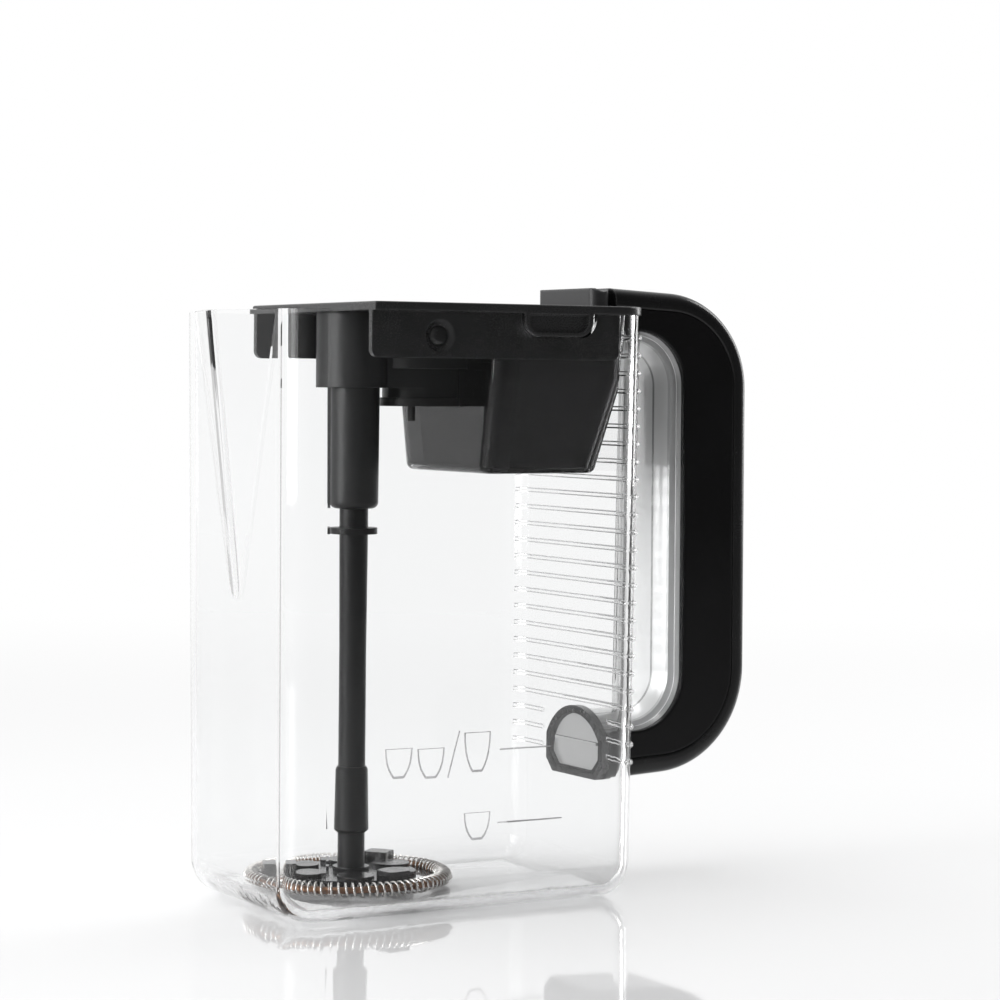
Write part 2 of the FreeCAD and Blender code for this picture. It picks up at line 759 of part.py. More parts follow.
def make_spindle():
    """Steel rod from the shaft's socket up to the gear, with a shoulder over the upper bush."""
    low = shaft_top - socket_depth + seat_gap
    shoulder_low = sleeve_high + bush_length + end_play
    shoulder = spindle_radius + spindle_shoulder
    profile = [
        (0, low), (spindle_radius, low), (spindle_radius, shoulder_low), (shoulder, shoulder_low),
        (shoulder, gear_low), (spindle_radius, gear_low), (spindle_radius, gear_high + gear_lift),
        (0, gear_high + gear_lift),
    ]
    return turned(profile, whisk_x, 0)


def gear(x, teeth, bore, phase):
    """Spur gear with straight-sided teeth. A tooth stands at the angle phase."""
    root = gear_module * (teeth / 2 - root_depth)
    tip = gear_module * (teeth / 2 + 1)
    half = math.pi / (2 * teeth) * tooth_fill
    points = []
    for index in range(teeth):
        middle = phase + index * 2 * math.pi / teeth
        for radius, share in ((root, -root_share), (tip, -tip_share), (tip, tip_share), (root, root_share)):
            angle = middle + share * half
            points.append(Vector(x + radius * math.cos(angle), radius * math.sin(angle), gear_low))
    face = Part.Face(Part.makePolygon(points + points[:1]))
    return face.extrude(Vector(0, 0, gear_width)).cut(rod(x, 0, gear_low, gear_high, bore))


def make_shaft():
    """Long whisk shaft with a waist, a stop collar under the sleeve and a socket for the spindle."""
    socket = shaft_top - socket_depth
    bore = spindle_radius + seat_gap
    profile = [
        (0, hub_high), (shaft_waist, hub_high), (shaft_waist, (ferrule_high + stop_height) / 2),
        (shaft_radius, stop_height), (stop_radius, stop_height), (stop_radius, stop_height + stop_thickness),
        (shaft_radius, stop_height + stop_thickness), (shaft_radius, shaft_top), (bore, shaft_top),
        (bore, socket), (0, socket),
    ]
    return turned(profile, whisk_x, 0)


def make_ferrule():
    """Thicker sleeve low on the shaft, widest at its foot, chamfered at both ends."""
    inner = shaft_waist + seat_gap
    low = ferrule_radius
    high = ferrule_radius - ferrule_taper
    profile = [
        (inner, ferrule_low), (low - ferrule_chamfer, ferrule_low), (low, ferrule_low + ferrule_chamfer),
        (high, ferrule_high - ferrule_chamfer), (high - ferrule_chamfer / 2, ferrule_high),
        (inner, ferrule_high),
    ]
    return turned(profile, whisk_x, 0)


def clamp_angle(index):
    """Direction of one clamp block, set so that its leg passes between two turns of the coil."""
    pitch = 360 / (coil_turns + 1)
    first = round((clamp_start - joint_angle) / pitch) * pitch
    return joint_angle + first + index * 360 / clamp_count


def about_whisk(shape, angle):
    """A copy of a shape turned about the whisk's axis."""
    copy = shape.copy()
    copy.rotate(Vector(whisk_x, 0, 0), UP, angle)
    return copy


def make_hub():
    """Hub plate with flat lobes, clamp blocks at the ring and a boss round the shaft."""
    hub = rod(whisk_x, 0, hub_low, hub_high, hub_radius)
    inner = hub_radius - clamp_root
    block = box(whisk_x + inner, whisk_x + clamp_outer, -clamp_width / 2, clamp_width / 2,
                hub_low, hub_high + clamp_height)
    block = block.common(rod(whisk_x, 0, hub_low, hub_high + clamp_height, clamp_outer))
    leg_hole = Part.makeCylinder(coil_wire + seat_gap, clamp_outer - hub_radius,
                                 Vector(whisk_x + hub_radius, 0, ring_height), Vector(1, 0, 0))
    lobe = rod(whisk_x + lobe_orbit, 0, hub_high, hub_high + lobe_height, lobe_radius)
    for index in range(clamp_count):
        angle = clamp_angle(index)
        hub = hub.fuse(about_whisk(block, angle))
        for side in (-1, 1):
            hub = hub.fuse(about_whisk(lobe, angle + side * lobe_spread))
    boss_high = hub_high + hub_boss_height
    hub = hub.fuse(rod(whisk_x, 0, hub_high, boss_high, hub_boss_radius))
    hub = hub.cut(rod(whisk_x, 0, hub_high, boss_high, shaft_waist + seat_gap))
    for index in range(clamp_count):
        hub = hub.cut(about_whisk(leg_hole, clamp_angle(index)))
    return hub.removeSplitter()


def make_ring():
    """Wire ring inside the coil with legs into the clamp blocks."""
    ring = Part.makeTorus(ring_radius, ring_wire, Vector(whisk_x, 0, ring_height))
    leg = Part.makeCylinder(coil_wire, ring_radius - hub_radius, Vector(whisk_x + hub_radius, 0, ring_height),
                            Vector(1, 0, 0))
    for index in range(clamp_count):
        ring = ring.fuse(about_whisk(leg, clamp_angle(index)))
    return ring


def coil_point(turn):
    """Centre of the coil's wire after some turns, and its direction there."""
    wind = 2 * math.pi * turn
    round_ring = math.radians(joint_angle) + wind / (coil_turns + 1)
    rate = 1 / (coil_turns + 1)
    reach = ring_radius + coil_radius * math.cos(wind)
    point = Vector(whisk_x + reach * math.cos(round_ring), reach * math.sin(round_ring),
                   ring_height + coil_radius * math.sin(wind))
    outward = -coil_radius * math.sin(wind)
    ahead = Vector(outward * math.cos(round_ring) - reach * rate * math.sin(round_ring),
                   outward * math.sin(round_ring) + reach * rate * math.cos(round_ring),
                   coil_radius * math.cos(wind))
    return point, ahead.normalize()


def tangent_arc(start, direction, end):
    """Arc from start along a direction to end."""
    chord = end - start
    across = chord - direction * chord.dot(direction)
    across.normalize()
    radius = chord.dot(chord) / (2 * chord.dot(across))
    centre = start + across * radius
    bow = (start + end) * 0.5 - centre
    bow.normalize()
    return Part.Arc(start, centre + bow * radius, end).toShape()


def biarc(start, start_direction, end, end_direction):
    """Two arcs that join two points along given directions without a kink."""
    chord = end - start
    both = start_direction + end_direction
    spread = 2 * (1 - start_direction.dot(end_direction))
    lean = chord.dot(both)
    reach = (math.sqrt(lean ** 2 + spread * chord.dot(chord)) - lean) / spread
    joint = (start + start_direction * reach + end - end_direction * reach) * 0.5
    second = tangent_arc(end, end_direction * -1, joint)
    return [tangent_arc(start, start_direction, joint), second]


def least_gap():
    """Smallest space between neighbouring turns, measured on points of the wire."""
    steps = 24
    points = [coil_point(index / steps)[0] for index in range(steps * coil_turns + 1)]
    nearest = min((points[index] - points[other]).Length
                  for index in range(len(points))
                  for other in range(index + steps // 2, min(index + 2 * steps, len(points))))
    ends = (points[0] - points[-1]).Length
    return min(nearest, ends) - 2 * coil_wire


def make_coil():
    """One unbroken wire wound round the ring, its two ends a pitch apart."""
    edges = []
    halves = 2 * coil_turns
    for index in range(halves):
        start, start_direction = coil_point(index / 2)
        end, end_direction = coil_point((index + 1) / 2)
        edges.extend(biarc(start, start_direction, end, end_direction))
    path = Part.Wire(edges)
    start, direction = coil_point(0)
    section = Part.Wire(Part.makeCircle(coil_wire, start, direction))
    print("least gap between turns %.2f" % least_gap())
    return path.makePipeShell([section], True, False)


def build():
    """Make and save every piece."""
    os.makedirs("parts", exist_ok=True)
    start = half_length - handle_root
    save("jug", make_jug())
    save("handle_strap", make_strap(start))
    save("handle_shell", make_shell(start))
    save("handle_core", make_core(start))
    save("handle_collar", make_collar())
    save("lid_plate", make_lid())
    save("side_studs", make_studs())
    save("thumb_rest", make_thumb_rest())
    save("drive_tub", make_tub())
    save("drive_capsule", make_capsule())
    save("gear_case", make_case())
    save("idler_pin", rod(idler_x, 0, case_low - case_floor, gear_high + gear_lift, idler_pin_radius))
    save("spindle_sleeve", make_sleeve())
    save("upper_bush", make_bush(sleeve_high))
    save("lower_bush", make_bush(shaft_top + bush_gap))
    save("spindle", make_spindle())
    half_pitch = math.pi / idler_teeth
    save("spindle_gear", gear(whisk_x, spindle_teeth, spindle_radius + seat_gap, 0))
    save("idler_gear", gear(idler_x, idler_teeth, idler_pin_radius + running_gap, math.pi + half_pitch))
    idler_tooth = (math.pi + half_pitch) % (2 * half_pitch)
    output_phase = math.pi + (half_pitch - idler_tooth) / half_pitch * math.pi / output_teeth
    save("output_gear", gear(output_x, output_teeth, output_pin_radius + running_gap, output_phase))
    save("whisk_shaft", make_shaft())
    save("whisk_ferrule", make_ferrule())
    save("whisk_hub", make_hub())
    save("whisk_ring", make_ring())
    save("whisk_coil", make_coil())


build()
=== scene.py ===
import math

import bpy
from mathutils import Matrix, Vector


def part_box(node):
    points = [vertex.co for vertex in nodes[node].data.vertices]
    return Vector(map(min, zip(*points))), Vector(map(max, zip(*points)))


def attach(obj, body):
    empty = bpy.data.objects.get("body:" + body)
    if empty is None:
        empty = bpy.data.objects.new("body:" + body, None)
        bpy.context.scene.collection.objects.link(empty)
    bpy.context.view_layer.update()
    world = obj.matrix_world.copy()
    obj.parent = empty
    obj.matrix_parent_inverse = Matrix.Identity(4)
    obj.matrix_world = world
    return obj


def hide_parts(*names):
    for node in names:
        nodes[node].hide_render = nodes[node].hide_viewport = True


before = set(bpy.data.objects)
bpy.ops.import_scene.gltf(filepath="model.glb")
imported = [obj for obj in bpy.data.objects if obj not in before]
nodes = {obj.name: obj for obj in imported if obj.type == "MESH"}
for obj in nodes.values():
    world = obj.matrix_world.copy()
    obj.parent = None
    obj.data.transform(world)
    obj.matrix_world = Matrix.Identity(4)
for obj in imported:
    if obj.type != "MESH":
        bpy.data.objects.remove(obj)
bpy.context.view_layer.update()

bpy.ops.object.select_all(action="DESELECT")

# Jug
# A single clear shell, injection moulded with its pouring beak, rim notches and a ribbed end wall.
# The plastic is polished and almost colourless, with the faint waviness that a large mould leaves.
plastic_index = 1.5
clear_grain = 900.0
mould_wave = 0.0004
most_turns = 4.5
let_out_tint = (0.86, 0.86, 0.86, 1.0)


def add_node(tree, kind, **values):
    """One shader node with its plain values set on its own sockets."""
    node = tree.nodes.new(kind)
    for name, value in values.items():
        node.inputs[name.replace("_", " ")].default_value = value
    return node


def make_group(name, inputs, outputs):
    """An empty shader group with named float sockets, and its two end nodes."""
    group = bpy.data.node_groups.new(name, "ShaderNodeTree")
    for socket in inputs:
        group.interface.new_socket(socket, in_out="INPUT", socket_type="NodeSocketFloat")
    for socket in outputs:
        group.interface.new_socket(socket, in_out="OUTPUT", socket_type="NodeSocketFloat")
    return group, group.nodes.new("NodeGroupInput"), group.nodes.new("NodeGroupOutput")


def make_mould_skin():
    """Surface of a moulding: fine grain, slow waves of the mould and a roughness between two limits."""
    group, start, end = make_group("mould_skin", ["Grain", "Wave", "Smooth", "Rough"],
                                   ["Roughness", "Height", "Cloud"])
    place = group.nodes.new("ShaderNodeTexCoord")
    grain = add_node(group, "ShaderNodeTexNoise", Detail=3.0, Roughness=0.55)
    wave = add_node(group, "ShaderNodeTexNoise", Detail=2.0, Roughness=0.5)
    for noise, socket in ((grain, "Grain"), (wave, "Wave")):
        group.links.new(place.outputs["Object"], noise.inputs["Vector"])
        group.links.new(start.outputs[socket], noise.inputs["Scale"])
    both = group.nodes.new("ShaderNodeMath")
    both.operation = "MULTIPLY"
    group.links.new(grain.outputs["Fac"], both.inputs[0])
    group.links.new(wave.outputs["Fac"], both.inputs[1])
    limits = group.nodes.new("ShaderNodeMapRange")
    limits.inputs["From Min"].default_value = 0.12
    limits.inputs["From Max"].default_value = 0.42
    group.links.new(both.outputs[0], limits.inputs["Value"])
    group.links.new(start.outputs["Smooth"], limits.inputs["To Min"])
    group.links.new(start.outputs["Rough"], limits.inputs["To Max"])
    group.links.new(limits.outputs["Result"], end.inputs["Roughness"])
    group.links.new(grain.outputs["Fac"], end.inputs["Height"])
    group.links.new(wave.outputs["Fac"], end.inputs["Cloud"])
    return group


mould_skin = make_mould_skin()


def lay_skin(tree, grain, wave, smooth, rough):
    """Place the moulded skin in a material with its own values."""
    skin = tree.nodes.new("ShaderNodeGroup")
    skin.node_tree = mould_skin
    skin.inputs["Grain"].default_value = grain
    skin.inputs["Wave"].default_value = wave
    skin.inputs["Smooth"].default_value = smooth
    skin.inputs["Rough"].default_value = rough
    return skin


def raise_bump(tree, height, strength, depth, shader):
    """Turn a height into a fine relief on a shader."""
    bump = tree.nodes.new("ShaderNodeBump")
    bump.inputs["Strength"].default_value = strength
    bump.inputs["Distance"].default_value = depth
    tree.links.new(height, bump.inputs["Height"])
    tree.links.new(bump.outputs["Normal"], shader.inputs["Normal"])
    return bump


def see_through(name, tint, lamp_tint, shine, wave, smooth, rough, relief):
    """Clear or smoked plastic that bends light and lets lamps shine through to what is inside.

    A ray that has turned more often than most_turns goes straight on. The renderer would end it in black.
    """
    material = bpy.data.materials.new(name)
    material.use_nodes = True
    tree = material.node_tree
    shader = tree.nodes["Principled BSDF"]
    shader.inputs["Base Color"].default_value = tint
    shader.inputs["Transmission Weight"].default_value = 1.0
    shader.inputs["IOR"].default_value = plastic_index
    shader.inputs["Specular Tint"].default_value = (shine, shine, shine, 1.0)
    skin = lay_skin(tree, clear_grain, wave, smooth, rough)
    tree.links.new(skin.outputs["Roughness"], shader.inputs["Roughness"])
    raise_bump(tree, skin.outputs["Cloud"], relief, mould_wave, shader)
    rays = tree.nodes.new("ShaderNodeLightPath")
    lamps = tree.nodes.new("ShaderNodeBsdfTransparent")
    lamps.inputs["Color"].default_value = lamp_tint
    mix = tree.nodes.new("ShaderNodeMixShader")
    tree.links.new(rays.outputs["Is Shadow Ray"], mix.inputs["Fac"])
    tree.links.new(shader.outputs["BSDF"], mix.inputs[1])
    tree.links.new(lamps.outputs["BSDF"], mix.inputs[2])
    trapped = tree.nodes.new("ShaderNodeMath")
    trapped.operation = "GREATER_THAN"
    trapped.inputs[1].default_value = most_turns
    tree.links.new(rays.outputs["Ray Depth"], trapped.inputs[0])
    way_out = tree.nodes.new("ShaderNodeBsdfTransparent")
    way_out.inputs["Color"].default_value = let_out_tint
    let_out = tree.nodes.new("ShaderNodeMixShader")
    tree.links.new(trapped.outputs[0], let_out.inputs["Fac"])
    tree.links.new(mix.outputs["Shader"], let_out.inputs[1])
    tree.links.new(way_out.outputs["BSDF"], let_out.inputs[2])
    tree.links.new(let_out.outputs["Shader"], tree.nodes["Material Output"].inputs["Surface"])
    return material


def mix_tone(tree, first, second, factor, shader):
    """Blend two colours by a varying factor into a shader's base colour."""
    tone = tree.nodes.new("ShaderNodeMix")
    tone.data_type = "RGBA"
    tone.inputs["A"].default_value = first
    tone.inputs["B"].default_value = second
    tree.links.new(factor, tone.inputs["Factor"])
    tree.links.new(tone.outputs["Result"], shader.inputs["Base Color"])


def dress(material, *names):
    """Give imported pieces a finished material."""
    for name in names:
        nodes[name].material_slots[0].material = material


clear_plastic = see_through(
    "clear_plastic", (0.982, 0.985, 0.986, 1.0), (0.96, 0.963, 0.964, 1.0),
    shine=0.4, wave=22.0, smooth=0.0, rough=0.03, relief=0.06)
dress(clear_plastic, "jug")

# Level marks
# Grey ink printed on the outside of the near long wall: four cup outlines, a stroke and two fill lines.
# The print is a thin film that follows the draft of the wall.
ink_width = 0.00048
ink_film = 0.00004
wall_foot = -0.0403
rim_height = 180.0
rim_spread = 1.7
wall_lean = math.atan2(rim_spread, rim_height)
ink_cover = 0.42
cup_places = ((-0.0259, 0.0421, 0.0092, 0.0089), (-0.0151, 0.0415, 0.0092, 0.0090),
              (0.0007, 0.0425, 0.0092, 0.0120), (0.0009, 0.0222, 0.0092, 0.0083))
cup_steps = ((0.25, 0.97), (0.25, 0.89), (0.2, 0.76), (0.15, 0.60), (0.1, 0.46), (0.05, 0.38))
fill_lines = ((0.0084, 0.0263, 0.0489), (0.0079, 0.0304, 0.0269))
stroke_ends = (Vector((-0.0093, 0.0414)), Vector((-0.0055, 0.0552)))


def pick_vertices(piece, chosen):
    """Go into edit mode with only those vertices selected whose place passes a test."""
    for part in (piece.data.polygons, piece.data.edges, piece.data.vertices):
        for item in part:
            item.select = False
    for vertex in piece.data.vertices:
        vertex.select = chosen(vertex.co)
    bpy.ops.object.mode_set(mode="EDIT")
    bpy.ops.mesh.select_mode(type="VERT")


def cup_outline(x, low, width, height):
    """One cup: a flat plate drawn in towards its foot, of which only the printed outline is kept."""
    bpy.ops.object.select_all(action="DESELECT")
    rim = low + height
    first_drop = height * cup_steps[0][0]
    bpy.ops.mesh.primitive_plane_add(size=1.0, location=(x, rim - first_drop / 2, 0.0))
    cup = bpy.context.object
    cup.scale = (width, first_drop, 1.0)
    bpy.ops.object.transform_apply(location=True, rotation=True, scale=True)
    pick_vertices(cup, lambda place: place.y < rim - first_drop / 2)
    reached = 1.0
    for step, (share, part_width) in enumerate(cup_steps):
        if step:
            bpy.ops.mesh.extrude_region_move(TRANSFORM_OT_translate={"value": (0.0, -height * share, 0.0)})
        bpy.ops.transform.resize(value=(part_width / reached, 1.0, 1.0), center_override=(x, low, 0.0))
        reached = part_width
    bpy.ops.mesh.select_mode(type="FACE")
    bpy.ops.mesh.select_all(action="SELECT")
    bpy.ops.mesh.dissolve_faces()
    bpy.ops.mesh.inset(thickness=ink_width)
    bpy.ops.transform.translate(value=(0.0, ink_width / 2, 0.0))
    bpy.ops.mesh.delete(type="FACE")
    bpy.ops.object.mode_set(mode="OBJECT")
    return cup


def ink_bar(first, last):
    """A straight printed line between two points of the wall."""
    run = last - first
    middle = (first + last) / 2
    bpy.ops.object.select_all(action="DESELECT")
    bpy.ops.mesh.primitive_plane_add(size=1.0, location=(middle.x, middle.y, 0.0),
                                     rotation=(0.0, 0.0, math.atan2(run.y, run.x)))
    bar = bpy.context.object
    bar.scale = (run.length, ink_width, 1.0)
    bpy.ops.object.transform_apply(location=True, rotation=True, scale=True)
    return bar


marks = [cup_outline(*values) for values in cup_places]
marks.append(ink_bar(*stroke_ends))
for first_x, last_x, height in fill_lines:
    marks.append(ink_bar(Vector((first_x, height)), Vector((last_x, height))))
bpy.ops.object.select_all(action="DESELECT")
for mark in marks:
    mark.select_set(True)
bpy.context.view_layer.objects.active = marks[0]
bpy.ops.object.join()
level_marks = bpy.context.object
level_marks.name = "level_marks"
film = level_marks.modifiers.new("film", "SOLIDIFY")
film.thickness = ink_film
film.offset = 1.0
bpy.ops.object.modifier_apply(modifier="film")
level_marks.matrix_world = (Matrix.Translation((0.0, wall_foot, 0.0)) @ Matrix.Rotation(wall_lean, 4, "X")
                            @ Matrix.Rotation(math.pi / 2, 4, "X"))
bpy.ops.object.transform_apply(location=True, rotation=True, scale=True)


grain_depth = 0.0001
edge_samples = 4


def solid_plastic(name, dark, light, grain, wave, smooth, rough, relief, gloss, edge):
    """Moulded plastic whose tone drifts a little between two colours, with softly rounded edges."""
    material = bpy.data.materials.new(name)
    material.use_nodes = True
    tree = material.node_tree
    shader = tree.nodes["Principled BSDF"]
    shader.inputs["Specular IOR Level"].default_value = gloss
    skin = lay_skin(tree, grain, wave, smooth, rough)
    mix_tone(tree, dark, light, skin.outputs["Cloud"], shader)
    tree.links.new(skin.outputs["Roughness"], shader.inputs["Roughness"])
    relief_node = raise_bump(tree, skin.outputs["Height"], relief, grain_depth, shader)
    soft_edge = add_node(tree, "ShaderNodeBevel", Radius=edge)
    soft_edge.samples = edge_samples
    tree.links.new(soft_edge.outputs["Normal"], relief_node.inputs["Normal"])
    return material


printed_ink = solid_plastic(
    "printed_ink", (0.42, 0.42, 0.425, 1.0), (0.52, 0.52, 0.525, 1.0),
    grain=4000.0, wave=300.0, smooth=0.45, rough=0.7, relief=0.1, gloss=0.3, edge=0.0001)
printed_ink.node_tree.nodes["Principled BSDF"].inputs["Alpha"].default_value = ink_cover
level_marks.data.materials.append(printed_ink)
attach(level_marks, "jug")

# Handle core
# The clear inner lining of the grip: an arched channel with a groove along each side, between the flanks.
# It is moulded thicker than the jug, so it looks a little milky and throws much light back.
# Painted shade lines run along its arch. They are dark lines painted into the colour where its ridges and
# grooves show shade and dark refraction. Each is given by its distance from the middle, half its width and
# its strength.
painted_shade_lines = ((0.0149, 0.0011, 0.75), (0.0117, 0.0004, 0.35), (0.0063, 0.0004, 0.7))
milky_tint = (0.96, 0.965, 0.965, 1.0)
milky_shade = (0.9, 0.905, 0.905, 1.0)
# Colour of the painted shade lines along the arch.
painted_shade_tint = (0.10, 0.10, 0.102, 1.0)
clear_share = 0.2
coat_index = 2.4
coat_rough = 0.25


def make_milky(material):
    """Make a clear plastic mostly white inside, under a bright coat, and give back its shader."""
    shader = material.node_tree.nodes["Principled BSDF"]
    shader.inputs["Transmission Weight"].default_value = clear_share
    shader.inputs["Coat Weight"].default_value = 1.0
    shader.inputs["Coat IOR"].default_value = coat_index
    shader.inputs["Coat Roughness"].default_value = coat_rough
    return shader


milky_plastic = see_through(
    "milky_plastic", milky_tint, milky_shade,
    shine=1.0, wave=40.0, smooth=0.08, rough=0.16, relief=0.05)
core_tree = milky_plastic.node_tree
core_shader = make_milky(milky_plastic)
core_place = core_tree.nodes.new("ShaderNodeTexCoord")
core_axes = core_tree.nodes.new("ShaderNodeSeparateXYZ")
core_tree.links.new(core_place.outputs["Object"], core_axes.inputs["Vector"])
core_side = core_tree.nodes.new("ShaderNodeMath")
core_side.operation = "ABSOLUTE"
core_tree.links.new(core_axes.outputs["Y"], core_side.inputs[0])
painted_shade_share = None
for place, reach, depth in painted_shade_lines:
    line = core_tree.nodes.new("ShaderNodeMath")
    line.operation = "COMPARE"
    line.inputs[1].default_value = place
    line.inputs[2].default_value = reach
    core_tree.links.new(core_side.outputs[0], line.inputs[0])
    shade = core_tree.nodes.new("ShaderNodeMath")
    shade.operation = "MULTIPLY"
    shade.inputs[1].default_value = depth
    core_tree.links.new(line.outputs[0], shade.inputs[0])
    if painted_shade_share is None:
        painted_shade_share = shade.outputs[0]
    else:
        both = core_tree.nodes.new("ShaderNodeMath")
        both.operation = "ADD"
        core_tree.links.new(painted_shade_share, both.inputs[0])
        core_tree.links.new(shade.outputs[0], both.inputs[1])
        painted_shade_share = both.outputs[0]
# The dark lines are painted shade, blended into the milky colour of the lining.
mix_tone(core_tree, milky_tint, painted_shade_tint, painted_shade_share, core_shader)
dress(milky_plastic, "handle_core")

# Handle flanks, outer strap and collar
# Black gloss flanks carry a softer outer strap along the seam, and a satin collar seats the arm on the wall.
# All three are moulded in black plastic with a very fine spark-eroded grain.
flank_black = solid_plastic(
    "flank_black", (0.003, 0.003, 0.0033, 1.0), (0.006, 0.006, 0.0064, 1.0),
    grain=2600.0, wave=40.0, smooth=0.16, rough=0.26, relief=0.05, gloss=0.22, edge=0.0009)
strap_black = solid_plastic(
    "strap_black", (0.005, 0.005, 0.0053, 1.0), (0.009, 0.009, 0.0094, 1.0),
    grain=3200.0, wave=45.0, smooth=0.2, rough=0.3, relief=0.07, gloss=0.36, edge=0.0009)
collar_black = solid_plastic(
    "collar_black", (0.014, 0.014, 0.0145, 1.0), (0.024, 0.024, 0.025, 1.0),
    grain=3200.0, wave=60.0, smooth=0.22, rough=0.34, relief=0.09, gloss=0.6, edge=0.0005)
dress(flank_black, "handle_shell")
dress(strap_black, "handle_strap")
dress(collar_black, "handle_collar")

# Arm plug
# A clear D-shaped plug snapped into the collar, which closes the hollow arm and shows light inside the arch.
# It is moulded with a level stiffening bar across its face.
plug_low = 0.0359
plug_high = 0.0531
plug_half = 0.0144
plug_face = 0.0616
plug_thickness = 0.0008
plug_arch = 0.0139
arch_steps = 16
plug_corner = 0.004
corner_steps = 4
bar_size = (0.0009, 0.025, 0.001)
bar_height = 0.0445
bpy.ops.object.select_all(action="DESELECT")
bpy.ops.mesh.primitive_plane_add(size=1.0, location=(plug_face, 0.0, (plug_low + plug_high) / 2),
                                 rotation=(0.0, -math.pi / 2, 0.0))
arm_plug = bpy.context.object
arm_plug.name = "arm_plug"
arm_plug.scale = (plug_high - plug_low, 2 * plug_half, 1.0)
bpy.ops.object.transform_apply(location=True, rotation=True, scale=True)
pick_vertices(arm_plug, lambda place: place.z < bar_height)
bpy.ops.mesh.bevel(offset=plug_corner, segments=corner_steps, affect="VERTICES")
bpy.ops.object.mode_set(mode="OBJECT")
pick_vertices(arm_plug, lambda place: place.z > bar_height)
bpy.ops.mesh.bevel(offset=plug_arch, segments=arch_steps, affect="VERTICES")
bpy.ops.object.mode_set(mode="OBJECT")
thickness = arm_plug.modifiers.new("thickness", "SOLIDIFY")
thickness.thickness = plug_thickness
thickness.offset = -1.0
bpy.ops.object.modifier_apply(modifier="thickness")
bpy.ops.object.select_all(action="DESELECT")
bpy.ops.mesh.primitive_cube_add(size=1.0, location=(plug_face - bar_size[0] / 2, 0.0, bar_height))
plug_bar = bpy.context.object
plug_bar.scale = bar_size
bpy.ops.object.transform_apply(location=True, rotation=True, scale=True)
arm_plug.select_set(True)
bpy.context.view_layer.objects.active = arm_plug
bpy.ops.object.join()
plug_clear = see_through(
    "plug_clear", milky_tint, milky_shade,
    shine=1.0, wave=60.0, smooth=0.05, rough=0.12, relief=0.05)
make_milky(plug_clear)
arm_plug.data.materials.append(plug_clear)
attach(arm_plug, "jug")

# Lid plate, thumb rest and side studs
# The lid is one satin moulding with skirts and finger tabs. The thumb saddle is welded on at the back.
# The studs are polished domes pressed into their dishes.
lid_black = solid_plastic(
    "lid_black", (0.015, 0.015, 0.0155, 1.0), (0.026, 0.026, 0.0268, 1.0),
    grain=3000.0, wave=38.0, smooth=0.2, rough=0.32, relief=0.07, gloss=0.45, edge=0.0008)
thumb_black = solid_plastic(
    "thumb_black", (0.035, 0.035, 0.036, 1.0), (0.055, 0.055, 0.057, 1.0),
    grain=3000.0, wave=60.0, smooth=0.3, rough=0.45, relief=0.1, gloss=0.4, edge=0.0009)
stud_black = solid_plastic(
    "stud_black", (0.006, 0.006, 0.0063, 1.0), (0.010, 0.010, 0.0104, 1.0),
    grain=2000.0, wave=80.0, smooth=0.1, rough=0.2, relief=0.03, gloss=0.5, edge=0.0004)
dress(lid_black, "lid_plate")
dress(thumb_black, "thumb_rest")
dress(stud_black, "side_studs")

# Gear case
# A black tray under the lid with a boss for the sleeve, and a round cup and a peg under the middle gear.
# It is one satin moulding, held up against the underside of the lid.
case_black = solid_plastic(
    "case_black", (0.009, 0.009, 0.0094, 1.0), (0.017, 0.017, 0.0176, 1.0),
    grain=2600.0, wave=55.0, smooth=0.3, rough=0.46, relief=0.1, gloss=0.35, edge=0.0005)
dress(case_black, "gear_case")

# Drive tub and drive capsule
# The tub is a smoked, see-through moulding with polished sides.
# The sealed black block stands behind its front.
smoked_plastic = see_through(
    "smoked_plastic", (0.11, 0.11, 0.112, 1.0), (0.03, 0.03, 0.03, 1.0),
    shine=0.5, wave=30.0, smooth=0.02, rough=0.08, relief=0.08)
capsule_black = solid_plastic(
    "capsule_black", (0.003, 0.003, 0.0032, 1.0), (0.007, 0.007, 0.0073, 1.0),
    grain=2600.0, wave=50.0, smooth=0.35, rough=0.5, relief=0.1, gloss=0.25, edge=0.0004)
dress(smoked_plastic, "drive_tub")
dress(capsule_black, "drive_capsule")

# Spindle sleeve
# A black tube pushed into the boss, moulded with a round lower lip and a slot down its handle side.
# It has a satin skin and holds the two bushes of the spindle.
sleeve_black = solid_plastic(
    "sleeve_black", (0.008, 0.008, 0.0083, 1.0), (0.015, 0.015, 0.0156, 1.0),
    grain=2800.0, wave=90.0, smooth=0.3, rough=0.44, relief=0.1, gloss=0.35, edge=0.0005)
dress(sleeve_black, "spindle_sleeve")

# Bushes, idler pin and spindle
# Sintered bronze bushes carry a ground steel spindle, and the idler turns on a short steel pin.
# The bushes sit in the sleeve, and the pin stands in the cup of the gear case.


